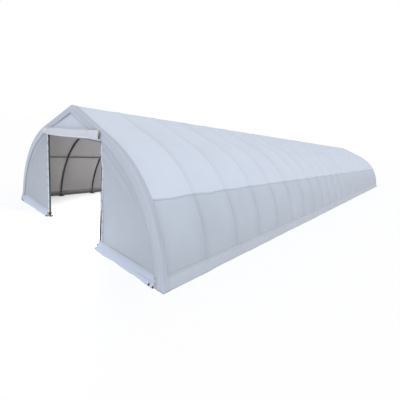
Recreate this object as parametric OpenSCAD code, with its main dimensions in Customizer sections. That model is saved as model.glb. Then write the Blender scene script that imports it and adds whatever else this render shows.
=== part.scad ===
// Fabric storage shelter: a long peaked arch of bent steel hoops under a woven
// cover, with a doorway in the front end wall and its curtain rolled up above.
// Millimetres. X runs across, Y runs along (the front end faces -Y), Z is up.
// The origin lies on the ground, in the middle of the plan.

/* [Frame] */
// Distance between the two feet of a hoop, centre to centre
span = 8980; // [7400:10:10800]
// Height of the hoops' centre line at the ridge
ridge_height = 3950; // [3250:10:4800]
// Distance from one hoop to the next
bay_length = 1550; // [1200:10:1900]
// Number of bays
bay_count = 22; // [2:1:22]
// Lean of the straight leg from upright, in degrees
leg_lean = 12.8; // [5:0.1:16]
// Pitch of the straight rafter, in degrees
roof_pitch = 20.6; // [15:0.1:26]
// Bend radius of a hoop between leg and rafter, on its centre line
bend_radius = 3770; // [2500:10:4600]
// Outer radius of the hoop tube
hoop_tube_r = 30; // [22:1:40]
// How much a hoop's tube thins where it is bent
bend_thinning = 0.4; // [0.2:0.1:1]
// Outer radius of the purlin tubes
purlin_tube_r = 21; // [15:1:30]
// Outer radius of the base rail tubes
rail_tube_r = 24; // [15:1:32]
// Height of the base rails above the ground, to their centre
rail_height = 95; // [70:1:160]
// Where the side purlins lie on the bend, in degrees up from level
purlin_angle = 38; // [28:1:52]

/* [Base plates] */
// Width of a hoop's base plate, across the shelter
plate_width = 210; // [160:1:280]
// Length of a hoop's base plate, along the shelter
plate_length = 220; // [140:1:300]
// Thickness of every base plate
plate_thick = 8; // [5:1:15]
// How far a hoop's base plate reaches out past its tube's centre
plate_outreach = 55; // [40:1:60]
// Side of a post's square base plate
post_plate = 140; // [100:1:200]
// Radius of an anchor hole
anchor_hole_r = 8; // [5:0.5:12]
// Distance of each anchor hole from the plate's inner edge
anchor_edge = 35; // [25:1:60]

/* [End walls] */
// Clear width of the doorway between its posts
door_width = 3440; // [2600:10:4200]
// Drop from the hoop down to the header, at the sides of the doorway
header_drop = 173; // [60:1:600]
// Outer radius of the end wall posts
post_tube_r = 30; // [20:1:40]
// Outer radius of the header tubes
header_tube_r = 24; // [16:1:32]
// Width of the border that the cover turns down over an end hoop
border_width = 240; // [180:5:450]
// Height of the loose flaps along the foot of an end wall
flap_height = 280; // [150:5:360]
// How far a flap spreads out at the ground
flap_spread = 60; // [20:1:120]

/* [Cover] */
// Thickness of every fabric solid
cover_thick = 8; // [4:0.5:14]
// Height of the skirts along the foot of the sides
skirt_height = 380; // [200:5:420]
// How far a skirt spreads out at the ground
skirt_spread = 35; // [10:1:80]

/* [Rolled door] */
// Length of the rolled-up door curtain
roll_length = 3720; // [3000:10:4400]
// Height of the roll as it hangs
roll_height = 250; // [160:5:320]
// Depth of the roll, front to back
roll_depth = 140; // [80:5:200]
// How far the roll hangs below the top of the doorway
roll_drop = 20; // [0:1:60]
// How much higher the roll's right end hangs than its left
roll_rise = 120; // [0:5:200]

/* [Fits] */
// Clearance between tubes that bear on each other
tube_gap = 0.3; // [0.2:0.1:1]
// Clearance between fabric and what it lies on
fabric_gap = 0.5; // [0.3:0.1:1]

/* [Hidden] */
$fn = 96;
hoop_count = bay_count + 1;

// Name of a hoop, counted from the front from 0.
function hoop_name(i) = str("hoop_", i < 9 ? "0" : "", i + 1);

// Finishes
steel = "#2f3236";
roof_fabric = "#ccd8ea";
wall_fabric = "#b8c0d0";
end_fabric = "#b0bccb";
hem_fabric = "#c8d6ee";

// Layers over the hoops, as distances out from the hoops' centre line. The end
// walls stop just short of the hoops' outer faces, under the border.
cover_in = hoop_tube_r + fabric_gap;
cover_out = cover_in + cover_thick;
edge_setback = 2;
panel_edge = hoop_tube_r - edge_setback;
border_in = hoop_tube_r - border_width;
purlin_out = -(hoop_tube_r + tube_gap + purlin_tube_r);
rail_out = -(hoop_tube_r + tube_gap + rail_tube_r);

// Layers outside an end hoop, as distances out from its centre
panel_back = hoop_tube_r + fabric_gap;
panel_face = panel_back + cover_thick;
border_back = panel_face + fabric_gap;
border_face = border_back + cover_thick;
roll_back = border_face + fabric_gap;
roll_face = roll_back + roll_depth;
flap_face = panel_face + flap_spread;

// Places along the shelter: the roll reaches further out than the rear flap
frame_length = bay_length * bay_count;
front_y = -frame_length / 2 + (roll_face - flap_face) / 2;
rear_y = front_y + frame_length;
function hoop_y(i) = front_y + i * bay_length;
// Where the tubes of an end wall stand, flush with the outer face of its hoop
function front_tube_y(r) = front_y - hoop_tube_r + r;
function rear_tube_y(r) = rear_y + hoop_tube_r - r;

// The arch on the hoops' centre line: straight leg, bend, straight rafter.
// The leg and the rafter would meet at the corner if there were no bend.
foot_x = span / 2;
corner_x = (foot_x - ridge_height * tan(leg_lean)) / (1 - tan(leg_lean) * tan(roof_pitch));
corner_z = ridge_height - corner_x * tan(roof_pitch);
bend_start = leg_lean;
bend_end = 90 - roof_pitch;
half_turn = (bend_end - bend_start) / 2;
// The bend leaves the leg straight past the skirt, and the rafter at the ridge
least_straight = 60;
leg_room = (corner_z - skirt_height - least_straight) / cos(leg_lean);
rafter_room = (corner_x - least_straight) / cos(roof_pitch);
bend_r = min(bend_radius, min(leg_room, rafter_room) / tan(half_turn));
bend_centre = [corner_x, corner_z]
    + bend_r * tan(half_turn) * [sin(leg_lean), -cos(leg_lean)]
    - bend_r * [cos(leg_lean), sin(leg_lean)];
// The thinner bend runs this many degrees on into the straight tubes
bend_lap = 0.1;
bend_fn = 360;
// Flats that a sheet takes over a bend, each too short to reach a hoop's tube
bend_steps = 56;
big = 2 * (span + ridge_height);

// The doorway reaches up to the header, which hangs below the rafters
door_half = door_width / 2;
post_x = door_half + post_tube_r;
under_hoop = -(hoop_tube_r + tube_gap);
header_top = ridge_z(under_hoop) - door_half * tan(roof_pitch) - header_drop;
door_height = header_top - 2 * header_tube_r;

// Points of the arch at a distance out from the hoops' centre line
function on_bend(a, out) = bend_centre + (bend_r + out) * [cos(a), sin(a)];
function leg_x(z, out) = foot_x + out / cos(leg_lean) - z * tan(leg_lean);
function ridge_z(out) = ridge_height + out / cos(roof_pitch);

// Lines along the right half of the arch, from low to high
function leg_point(z, out) = [leg_x(z, out), z];
function ridge_point(out) = [0, ridge_z(out)];
function bend_line(a1, a2, out) =
    [for (k = [0:bend_steps]) on_bend(a1 + (a2 - a1) * k / bend_steps, out)];
function half_line(out) =
    concat([leg_point(0, out)], bend_line(bend_start, bend_end, out), [ridge_point(out)]);

function backwards(points) = [for (k = [len(points) - 1:-1:0]) points[k]];
function flipped(points) = [for (p = points) [-p[0], p[1]]];
function from_second(points) = [for (k = [1:len(points) - 1]) points[k]];

// The whole arch as one line, from the right foot over the ridge to the left
function arch_line(out) =
    concat(half_line(out), from_second(backwards(flipped(half_line(out)))));

// ---- flat shapes in the plane of a hoop: x across, y up ----

// Everything under the arch, as far out as given
module under_arch(out) {
    polygon(arch_line(out));
}

// A band between two lines that run the same way
module band(inner, outer) {
    polygon(concat(outer, backwards(inner)));
}

// ---- placing ----

// Stands a flat shape up and makes it deep from y towards the rear
module upright(y, depth) {
    translate([0, y + depth, 0]) rotate([90, 0, 0]) linear_extrude(depth) children();
}

// A flat layer outside an end hoop, between two distances out from it
module front_layer(back, face) {
    upright(front_y - face, face - back) children();
}

module rear_layer(back, face) {
    upright(rear_y + back, face - back) children();
}

// The whole length of the cover, out to the faces of the borders
module full_length() {
    upright(front_y - border_face, frame_length + 2 * border_face) children();
}

// side is -1 for the left and 1 for the right, seen from the front
module on_side(side) {
    mirror([side < 0 ? 1 : 0, 0, 0]) children();
}

module tube_along_y(x, z, r) {
    upright(front_y - hoop_tube_r, frame_length + 2 * hoop_tube_r)
        translate([x, z]) circle(r);
}

// ---- steel frame ----

// A round tube in the plane of a hoop, from a point and in a direction
module tube_in_plane(from, run, length, r) {
    translate([from[0], 0, from[1]]) rotate([0, atan2(run[0], run[1]), 0])
        cylinder(r = r, h = length);
}

// Keeps what is right of the middle and above the ground
module trim_half() {
    intersection() {
        children();
        translate([0, -big / 2, 0]) cube(big);
    }
}

module half_hoop() {
    leg_top = on_bend(bend_start, 0);
    rafter_foot = on_bend(bend_end, 0);
    over = 3 * hoop_tube_r;
    trim_half() tube_in_plane(leg_top, [sin(leg_lean), -cos(leg_lean)],
                              leg_top[1] / cos(leg_lean) + over, hoop_tube_r);
    translate([bend_centre[0], 0, bend_centre[1]]) rotate([90, 0, 0])
        rotate_extrude(angle = bend_end - bend_start + 2 * bend_lap, start = bend_start - bend_lap,
                       $fn = bend_fn)
            translate([bend_r, 0]) circle(hoop_tube_r - bend_thinning, $fn = 48);
    trim_half() tube_in_plane(rafter_foot, [-cos(roof_pitch), sin(roof_pitch)],
                              rafter_foot[0] / cos(roof_pitch) + over, hoop_tube_r);
}

// A hoop's base plate, with two anchor holes along its inner edge
module hoop_plate(shift) {
    inner_x = foot_x + plate_outreach - plate_width;
    difference() {
        translate([inner_x, shift - plate_length / 2, 0])
            cube([plate_width, plate_length, plate_thick]);
        for (end = [-1, 1])
            translate([inner_x + anchor_edge, shift + end * (plate_length / 2 - anchor_edge), -1])
                cylinder(r = anchor_hole_r, h = plate_thick + 2);
    }
}

// An end hoop's plates turn inwards, clear of the end wall in front of them
module hoop(i) {
    inward = plate_length / 2 - hoop_tube_r;
    shift = i == 0 ? inward : i == bay_count ? -inward : 0;
    color(steel) translate([0, hoop_y(i), 0])
        for (side = [-1, 1]) on_side(side) {
            half_hoop();
            hoop_plate(shift);
        }
}

module ridge_purlin() {
    color(steel) tube_along_y(0, ridge_z(purlin_out), purlin_tube_r);
}

module side_purlin(side) {
    centre = on_bend(purlin_angle, purlin_out);
    color(steel) on_side(side) tube_along_y(centre[0], centre[1], purlin_tube_r);
}

module base_rail(side) {
    color(steel) on_side(side)
        tube_along_y(leg_x(rail_height, rail_out), rail_height, rail_tube_r);
}

// A post of an end wall, from its plate up to the rafter. inward is 1 or -1, and
// the plate reaches that way from the post's outer side.
module end_post(y, inward) {
    plate_y = y + inward * (post_plate / 2 - post_tube_r);
    color(steel) {
        intersection() {
            translate([post_x, y, 0]) cylinder(r = post_tube_r, h = ridge_height);
            upright(y - big / 4, big / 2) under_arch(under_hoop);
        }
        difference() {
            translate([post_x, plate_y, plate_thick / 2])
                cube([post_plate, post_plate, plate_thick], center = true);
            translate([post_x, plate_y + inward * (post_plate / 2 - anchor_edge), -1])
                cylinder(r = anchor_hole_r, h = plate_thick + 2);
        }
    }
}

module front_post() {
    end_post(front_tube_y(post_tube_r), 1);
}

module rear_post() {
    end_post(rear_tube_y(post_tube_r), -1);
}

module header(y) {
    reach = door_half - tube_gap;
    color(steel) translate([-reach, y, header_top - header_tube_r]) rotate([0, 90, 0])
        cylinder(r = header_tube_r, h = 2 * reach);
}

// ---- main cover ----

// From the side purlin up to the ridge, and from the skirt up to the purlin
function roof_line(out) =
    concat(bend_line(purlin_angle, bend_end, out), [ridge_point(out)]);
function wall_line(out) =
    concat([leg_point(skirt_height, out)], bend_line(bend_start, purlin_angle, out));

module roof_cover(side) {
    color(roof_fabric) on_side(side) full_length()
        band(roof_line(cover_in), roof_line(cover_out));
}

module wall_cover(side) {
    color(wall_fabric) on_side(side) full_length()
        band(wall_line(cover_in), wall_line(cover_out));
}

module skirt(side) {
    top = skirt_height - fabric_gap;
    spread = [skirt_spread, 0];
    color(hem_fabric) on_side(side) full_length()
        band([leg_point(0, cover_in) + spread, leg_point(top, cover_in)],
             [leg_point(0, cover_out) + spread, leg_point(top, cover_out)]);
}

// The edge of the main cover, turned down over an end hoop
module border() {
    band(arch_line(border_in), arch_line(hoop_tube_r));
}

module front_border() {
    color(wall_fabric) front_layer(border_back, border_face) border();
}

module rear_border() {
    color(wall_fabric) rear_layer(border_back, border_face) border();
}

// ---- end walls ----

module front_gable_panel() {
    half = door_half - fabric_gap;
    color(end_fabric) front_layer(panel_back, panel_face) intersection() {
        under_arch(panel_edge);
        translate([-half, door_height]) square([2 * half, big]);
    }
}

module front_side_panel(side) {
    color(end_fabric) on_side(side) front_layer(panel_back, panel_face) intersection() {
        under_arch(panel_edge);
        translate([door_half, flap_height]) square(big);
    }
}

module rear_wall() {
    color(end_fabric) rear_layer(panel_back, panel_face) intersection() {
        under_arch(panel_edge);
        translate([-big / 2, flap_height]) square(big);
    }
}

// A flap's section, from its top edge down and out to the ground
module flap_section() {
    top = flap_height - fabric_gap;
    polygon([[panel_back, top], [panel_face, top], [flap_face, 0], [flap_face - cover_thick, 0]]);
}

// A flap between two places across, kept clear of the border's inner edge
module flap(x1, x2) {
    intersection() {
        translate([x1, 0, 0]) rotate([90, 0, 90]) linear_extrude(x2 - x1) flap_section();
        upright(0, 2 * flap_face) under_arch(border_in - fabric_gap);
    }
}

module front_flap(side) {
    color(hem_fabric) on_side(side) translate([0, front_y, 0]) mirror([0, 1, 0])
        flap(door_half, foot_x);
}

module rear_flap() {
    color(hem_fabric) translate([0, rear_y, 0]) flap(-foot_x, foot_x);
}

// The door curtain, rolled up and tied in front of the header
module rolled_door() {
    round_r = roll_depth / 2;
    straight = roll_height / 2 - round_r;
    color(roof_fabric)
        translate([0, front_y - roll_back - round_r,
                   door_height - roll_drop + roll_height / 2])
        rotate([0, -asin(roll_rise / roll_length), 0]) translate([-roll_length / 2, 0, 0])
        rotate([90, 0, 90]) linear_extrude(roll_length) {
            square([roll_depth, 2 * straight], center = true);
            for (end = [-1, 1]) translate([0, end * straight]) circle(round_r);
        }
}

for (i = [0:bay_count]) hoop(i);
ridge_purlin();
side_purlin(-1);  // left_side_purlin
side_purlin(1);  // right_side_purlin
base_rail(-1);  // left_base_rail
base_rail(1);  // right_base_rail
on_side(-1) front_post();  // front_left_post
front_post();  // front_right_post
header(front_tube_y(header_tube_r));  // front_header
for (side = [-1, 1]) on_side(side) rear_post();  // rear_posts
header(rear_tube_y(header_tube_r));  // rear_header
roof_cover(-1);  // left_roof_cover
roof_cover(1);  // right_roof_cover
wall_cover(-1);  // left_wall_cover
wall_cover(1);  // right_wall_cover
skirt(-1);  // left_skirt
skirt(1);  // right_skirt
front_border();
rear_border();
front_gable_panel();
front_side_panel(-1);  // front_left_panel
front_side_panel(1);  // front_right_panel
front_flap(-1);  // front_left_flap
front_flap(1);  // front_right_flap
rolled_door();
rear_wall();
rear_flap();
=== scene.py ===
# %% [markdown]
# # A fabric storage shelter
# Steel hoops carry a long woven cover. The hoops, purlins, rails and posts come from
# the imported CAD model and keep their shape. Everything made of cloth is built here:
# a cloth hangs, sags between its supports and folds, and a CAD solid can't show that.
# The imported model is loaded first, and every place and size below is read off it.

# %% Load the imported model
import math

import bmesh
import bpy
import numpy as np
from mathutils import Matrix, Vector


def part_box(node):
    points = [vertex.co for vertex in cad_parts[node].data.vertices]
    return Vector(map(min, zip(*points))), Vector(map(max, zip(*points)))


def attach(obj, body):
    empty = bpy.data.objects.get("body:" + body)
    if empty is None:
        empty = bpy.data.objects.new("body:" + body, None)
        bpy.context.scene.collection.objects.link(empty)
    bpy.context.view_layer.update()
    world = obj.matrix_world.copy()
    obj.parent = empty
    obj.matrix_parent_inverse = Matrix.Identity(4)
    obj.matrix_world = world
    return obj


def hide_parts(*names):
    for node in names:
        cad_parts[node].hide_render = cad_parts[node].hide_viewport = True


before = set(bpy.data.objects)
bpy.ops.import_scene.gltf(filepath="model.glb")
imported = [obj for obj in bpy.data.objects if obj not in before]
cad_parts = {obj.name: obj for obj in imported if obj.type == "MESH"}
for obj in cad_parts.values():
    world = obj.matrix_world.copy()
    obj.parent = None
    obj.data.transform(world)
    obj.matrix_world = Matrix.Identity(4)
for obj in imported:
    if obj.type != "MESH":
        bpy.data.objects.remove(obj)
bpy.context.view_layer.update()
scene = bpy.context.scene


def show(thing):
    """Puts an object in the scene."""
    scene.collection.objects.link(thing)
    return thing


# %% [markdown]
# ## The camera
# It stands a little above head height, off the front right corner, and looks down the
# right-hand side. A wide lens this near makes the front tall and the rear end small.
# The view is built from a heading, a tilt and a roll, because those are easy to turn
# by hand, and the camera's own axes are worked out from them.

# %% The camera
CAMERA_RIGHT = 8.376     # metres to the right of the middle
CAMERA_AHEAD = 3.864     # in front of the front border
CAMERA_HEIGHT = 3.584
HEADING, TILT, ROLL = (math.radians(a) for a in (38.667, 13.68, 6.819))
LENS = 24.07             # millimetres, on a sensor 36 wide

front_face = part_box("front_border")[0].y


def camera_axes(heading, tilt, roll):
    """The camera's right, up and back directions."""
    ahead = Vector((-math.sin(heading) * math.cos(tilt),
                    math.cos(heading) * math.cos(tilt), -math.sin(tilt)))
    right = ahead.cross(Vector((0, 0, 1))).normalized()
    up = right.cross(ahead)
    return (math.cos(roll) * right + math.sin(roll) * up,
            math.cos(roll) * up - math.sin(roll) * right, -ahead)


camera = bpy.data.objects.new("camera", bpy.data.cameras.new("camera"))
camera.data.lens = LENS
camera.data.sensor_width = 36
camera.data.clip_end = 1000
axes = Matrix(camera_axes(HEADING, TILT, ROLL)).transposed().to_4x4()
camera.matrix_world = Matrix.Translation((CAMERA_RIGHT, front_face - CAMERA_AHEAD,
                                          CAMERA_HEIGHT)) @ axes
scene.camera = show(camera)
scene.view_settings.view_transform = "Standard"
print("camera at", [round(x, 3) for x in camera.location])

# %% [markdown]
# ## Where the hoops stand and how the arch runs
# All the cloth follows one arch. Its outline could be written again as a formula, but
# then it might drift from the steel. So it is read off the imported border, which is a
# flat ring: the faces that look outwards give the outer line, and those that look
# inwards give the inner one. Both have the same number of points, so a place on the
# cloth is a distance along the arch and a distance out from the border's outer line.

# %% The hoops' places along the shelter
hoop_count = sum(name.startswith("hoop_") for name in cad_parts)


def middle_y(node):
    """The middle of a node, along the shelter."""
    low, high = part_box(node)
    return (low.y + high.y) / 2


bay = middle_y("hoop_03") - middle_y("hoop_02")
front_hoop = middle_y("hoop_02") - bay
hoop_y = front_hoop + bay * np.arange(hoop_count)
tube_r = front_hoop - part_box("hoop_01")[0].y
print("hoops", hoop_count, "bay", round(bay, 3), "tube radius", round(tube_r, 4))


# %% The arch's two outlines
def outline(node, side):
    """The points (x, z) of a ring's outer (1) or inner (-1) line, right foot to left."""
    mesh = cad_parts[node].data
    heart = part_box(node)[1].z / 4
    found = {}
    for face in mesh.polygons:
        n, (x, _, z) = face.normal, face.center
        facing = (n.x * x + n.z * (z - heart)) / math.hypot(x, z - heart)
        if abs(n.y) < 0.5 and n.z > -0.95 and side * facing > 0.5:
            for v in face.vertices:
                x, _, z = mesh.vertices[v].co
                turn = math.atan2(z - heart, x) + math.pi / 2
                found[(round(x, 4), round(z, 4))] = turn % math.tau
    return np.array(sorted(found, key=found.get))


ring_out = outline("front_border", 1)
ring_in = outline("front_border", -1)
border_width = np.linalg.norm(ring_out - ring_in, axis=1).min()
ring_s = np.concatenate([[0], np.cumsum(np.linalg.norm(np.diff(ring_out, axis=0), axis=1))])
arch_length = ring_s[-1]
print("arch points", len(ring_out), len(ring_in), "length", round(arch_length, 3))


def arch(s, out=0.0):
    """The point (x, z) at a distance along the arch, and out from the border's edge."""
    a, b = ([np.interp(s, ring_s, line[:, k]) for k in (0, 1)] for line in (ring_out, ring_in))
    far = out / border_width
    return a[0] + (a[0] - b[0]) * far, a[1] + (a[1] - b[1]) * far


ARCH_STEPS = 4000
arch_s = np.linspace(0, arch_length, ARCH_STEPS)
right_s = arch_s[:ARCH_STEPS // 2]


def nearest_s(x, z):
    """The place along the arch that is nearest to a point."""
    ax, az = arch(arch_s)
    return arch_s[np.argmin(np.hypot(ax - x, az - z))]


purlin_low, purlin_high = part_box("right_side_purlin")
purlin_s = nearest_s(purlin_high.x, purlin_high.z)
skirt_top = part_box("right_skirt")[1].z
skirt_s = np.interp(skirt_top, arch(right_s)[1], right_s)
ridge_s = arch_length / 2
rear_hoop = hoop_y[-1]
print("purlin, skirt top and ridge at", [round(s, 3) for s in (purlin_s, skirt_s, ridge_s)])


SIDES = {"right": 1, "left": -1}   # with the sign of x on that side


def on_side(side, up):
    """The place along the arch that is this far up from one side's foot."""
    return up if side == "right" else arch_length - up


def foot_up(s):
    """How far up a place on the arch is from the nearer foot."""
    return np.minimum(s, arch_length - s)


# %% [markdown]
# ## Node trees written as sums
# A material is a tree of nodes, and building one by hand means a line for every link.
# One small class makes it shorter. It stands for one output of a node, and Python's
# own signs on it add Math nodes, so that a line of shader maths reads as maths. Any
# other node comes from one method. The same class serves the Geometry Nodes trees.

# %% One output of a node, with arithmetic
class Wire:
    """An output in a node tree. +, -, * and / on it add Math nodes."""

    def __init__(self, tree, socket=None):
        self.tree, self.socket = tree, socket

    def node(self, kind, settings=None, inputs=None, out=0):
        """Adds a node: its settings first, then values or links for its sockets."""
        made = self.tree.nodes.new(kind)
        for name, value in (settings or {}).items():
            setattr(made, name, value)
        for name, value in (inputs or {}).items():
            if isinstance(value, Wire):
                self.tree.links.new(value.socket, made.inputs[name])
            else:
                made.inputs[name].default_value = value
        return Wire(self.tree, made.outputs[out])

    def output(self, name):
        """Another output of the same node."""
        return Wire(self.tree, self.socket.node.outputs[name])

    def into(self, socket):
        """Links this output to a socket."""
        self.tree.links.new(self.socket, socket)

    def maths(self, operation, *values, clamp=False):
        """A Math node with these values or outputs."""
        return self.node("ShaderNodeMath", {"operation": operation, "use_clamp": clamp},
                         dict(enumerate(values)))

    def fading(self, reach):
        """1 where this output is 0, down to 0 where it is reach or more."""
        return self.maths("SUBTRACT", 1.0, self / reach, clamp=True)

    def __add__(self, other):
        return self.maths("ADD", self, other)

    def __sub__(self, other):
        return self.maths("SUBTRACT", self, other)

    def __rsub__(self, other):
        return self.maths("SUBTRACT", other, self)

    def __mul__(self, other):
        return self.maths("MULTIPLY", self, other)

    def __truediv__(self, other):
        return self.maths("DIVIDE", self, other)

    def __pow__(self, other):
        return self.maths("POWER", self, other)

    __radd__, __rmul__ = __add__, __mul__


# %% [markdown]
# ## The finishes
# The cover is a woven sheet of flat plastic tapes with a thin coating: pale, a little
# blue, with a soft sheen. Its weave is too fine to see from afar, but it breaks up the
# shine close by. Dust gathers towards the ground and rain leaves faint streaks. Light
# and shade are painted into some tones: the roof's cloth is lighter than the walls' and
# the end walls', and the inner face is painted dark, as the inside lies in shade. The
# weave follows the cloth's own map, in metres along the cloth, so it turns with every
# fold. The rest reads the shelter's own coordinates.

# %% A finish to start from
def start_finish(name, **sockets):
    """A new material, a wire into its tree, and its shader with those sockets set."""
    material = bpy.data.materials.new(name)
    material.use_nodes = True
    shader = material.node_tree.nodes["Principled BSDF"]
    for socket, value in sockets.items():
        shader.inputs[socket.replace("_", " ")].default_value = value
    return material, Wire(material.node_tree), shader


def noise(place, scale, detail=3.0, roughness=0.5):
    """Soft noise between 0 and 1 on some coordinates."""
    return place.node("ShaderNodeTexNoise", {}, {"Vector": place, "Scale": scale, "Detail": detail,
                                                 "Roughness": roughness})


def stretched(place, x, y, z):
    """Coordinates with each axis scaled, which draws a pattern out or in."""
    return place.node("ShaderNodeMapping", {}, {"Vector": place, "Scale": (x, y, z)})


def mixed(mask, a, b):
    """Colour a where the mask is 0 and b where it is 1."""
    return mask.node("ShaderNodeMix", {"data_type": "RGBA"}, {0: mask, 6: a, 7: b}, out=2)


def shade(colour, factor):
    """A colour made lighter or darker."""
    return tuple(factor * c for c in colour[:3]) + (1.0,)


def emboss(relief, shader):
    """Gives a finish its fine relief, in metres."""
    relief.node("ShaderNodeBump", {}, {"Distance": 1.0, "Height": relief}).into(
        shader.inputs["Normal"])


# %% The cloth
TAPE = 0.0028            # metres from one woven tape to the next
SCRIM = 0.014            # and from one thicker yarn to the next
DUST_HEIGHT = 0.9        # no dust lies on the cloth above it
GREY_LINE, GREY_REACH = 0.05, 0.48   # the cloth is darkened on a hoop and beside it, by painted shade and rubbing, and the painted shade lies a little behind it
GREY_BEHIND = 0.018      # and a little behind it
DUST = (0.33, 0.32, 0.31, 1.0)


def cloth_finish(name, colour, dust=0.25, crinkle=0.0022, above=None, shade_and_rub=0.0):
    """Coated cloth. above is another colour it turns to between two heights, and
    shade_and_rub is how much it is darkened on the hoops and beside them: painted shade of the
    hoops, and rubbing."""
    material, wire, shader = start_finish(name, Roughness=0.5, Specular_IOR_Level=0.35,
                                          Sheen_Weight=0.08, Sheen_Roughness=0.4)
    place = wire.node("ShaderNodeTexCoord", out="Object")
    xyz = place.node("ShaderNodeSeparateXYZ", {}, {0: place})
    height = xyz.output("Z")

    # The sun has faded it in patches
    patches = noise(place, 0.7, 4)
    faded = mixed(patches, shade(colour, 0.95), shade(colour, 1.05))
    if above:
        upper, low_end, high_end = above
        rise = (height - low_end) / (high_end - low_end) + patches * 0.5 - 0.25
        faded = mixed(rise.maths("MULTIPLY", rise, 1.0, clamp=True), faded, upper)
    # Painted shade and rubbing: the cloth is darker on each hoop and beside it, most just behind
    # it
    if shade_and_rub:
        bays = (xyz.output("Y") - (front_hoop + GREY_BEHIND)) / bay
        beside = bays.maths("ABSOLUTE", bays - bays.maths("ROUND", bays)) * bay
        line, halo = beside.fading(GREY_LINE), beside.fading(GREY_REACH)
        hoop_shade = (halo * halo * 0.75 + line * 0.3) * (noise(place, 1.1, 3) + 0.45) * shade_and_rub
        faded = mixed(hoop_shade, faded, shade(colour, 0.62))
    # Rain leaves streaks, and dust lies near the ground
    streaks = noise(stretched(place, 2.4, 2.4, 0.12), 3.0, 4) - 0.5
    low = height.fading(DUST_HEIGHT)
    dirt = low * low * noise(place, 5.0, 5) * (2 * dust) + streaks * 0.10
    mixed(dirt.maths("MAXIMUM", dirt, 0.0), faded, DUST).into(shader.inputs["Base Color"])

    # The weave follows the cloth's own map
    along = wire.node("ShaderNodeUVMap", {"uv_map": "cloth"})
    uv = along.node("ShaderNodeSeparateXYZ", {}, {0: along})
    u, v = uv.output("X"), uv.output("Y")

    def wave(distance, step):
        return distance.maths("SINE", distance * (math.tau / step))

    def yarn(distance):
        crest = wave(distance, SCRIM)
        return crest.maths("MAXIMUM", crest, 0.0) ** 12.0

    weave = wave(u, TAPE) * wave(v, TAPE)
    scrim = yarn(u) + yarn(v)
    creases = noise(stretched(place, 1.0, 1.0, 0.45), 9.0, 5, 0.55)
    emboss(creases * crinkle + weave * 0.00008 + scrim * 0.0001, shader)
    (noise(place, 2.0, 3) * 0.16 + scrim * 0.03 + 0.40).into(shader.inputs["Roughness"])
    return material


# Painted light: these are one cloth, but the roof's is painted lighter than the walls' and the end
# walls', as light from above falls on it, and the wall's turns lighter towards its top.
END = (0.412, 0.459, 0.545, 1.0)
lit_roof_cloth = cloth_finish("roof cloth with painted light", (0.595, 0.655, 0.765, 1.0), dust=0.1, shade_and_rub=0.14)
wall_cloth_lit_above = cloth_finish("wall cloth with painted light", (0.442, 0.489, 0.573, 1.0), shade_and_rub=0.34,
                          above=((0.518, 0.576, 0.673, 1.0), 0.45, 2.8))
end_cloth = cloth_finish("end cloth", END)
# Painted shade: the left panel is painted darker than the right one.
shaded_left_end_cloth = cloth_finish("left end cloth with painted shade", shade(END, 0.86))
# Painted light: the gable is painted lighter than the end cloth, against the shade of the eave and
# the rolled door.
lit_gable_cloth = cloth_finish("gable cloth with painted light", shade(END, 1.33))
# Painted light: the flaps are painted lighter low down, where they face up to the light, and
# darker at the top like the panel above.
flap_cloth_lit_low = cloth_finish("flap cloth with painted light", (0.530, 0.592, 0.735, 1.0), dust=0.1,
                          above=((0.435, 0.495, 0.600, 1.0), 0.03, 0.27))
border_cloth = cloth_finish("border cloth", (0.450, 0.497, 0.592, 1.0), dust=0.15)
hem_cloth = cloth_finish("hem cloth", (0.475, 0.525, 0.605, 1.0), dust=0.15)
door_cloth = cloth_finish("door cloth", (0.568, 0.596, 0.675, 1.0), crinkle=0.003)
# Painted shade: the inner face is painted dark, as the inside of the shelter lies in shade.
shaded_inner_cloth = cloth_finish("inner face of the cloth with painted shade", (0.166, 0.161, 0.161, 1.0), dust=0.1)


# %% Steel, zinc, webbing and thread
STEEL_DUST, STEEL_DUST_HEIGHT = (0.16, 0.15, 0.14, 1.0), 0.6


def steel_finish(name, paint, worn):
    """Dark paint on tube, dusty towards the ground, with small chips down to the metal."""
    material, wire, shader = start_finish(name, Specular_IOR_Level=0.4)
    place = wire.node("ShaderNodeTexCoord", out="Object")
    height = place.node("ShaderNodeSeparateXYZ", {}, {0: place}).output("Z")
    chips = place.maths("MULTIPLY", noise(place, 38.0, 6, 0.65) - 0.66, 14.0, clamp=True)
    low = height.fading(STEEL_DUST_HEIGHT)
    coat = mixed(noise(place, 3.0, 4), shade(paint, 0.8), shade(paint, 1.3))
    dusty = mixed(low * noise(place, 14.0, 5) * 0.5, coat, STEEL_DUST)
    mixed(chips, dusty, worn).into(shader.inputs["Base Color"])
    (chips * 0.8).into(shader.inputs["Metallic"])
    (0.52 - chips * 0.15 + noise(place, 60.0, 2) * 0.12).into(shader.inputs["Roughness"])
    emboss(noise(place, 220.0, 2) * 0.0001 - chips * 0.0002, shader)
    return material


def fine_finish(name, dark, light, grain, metallic=0.0, roughness=0.5):
    """A small fitting's finish: two tones in a fine grain."""
    material, wire, shader = start_finish(name, Metallic=metallic)
    place = wire.node("ShaderNodeTexCoord", out="Object")
    speckle = noise(place, grain, 4, 0.6)
    mixed(speckle, dark, light).into(shader.inputs["Base Color"])
    (speckle * 0.2 + (roughness - 0.1)).into(shader.inputs["Roughness"])
    emboss(speckle * 0.0004, shader)
    return material


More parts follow.
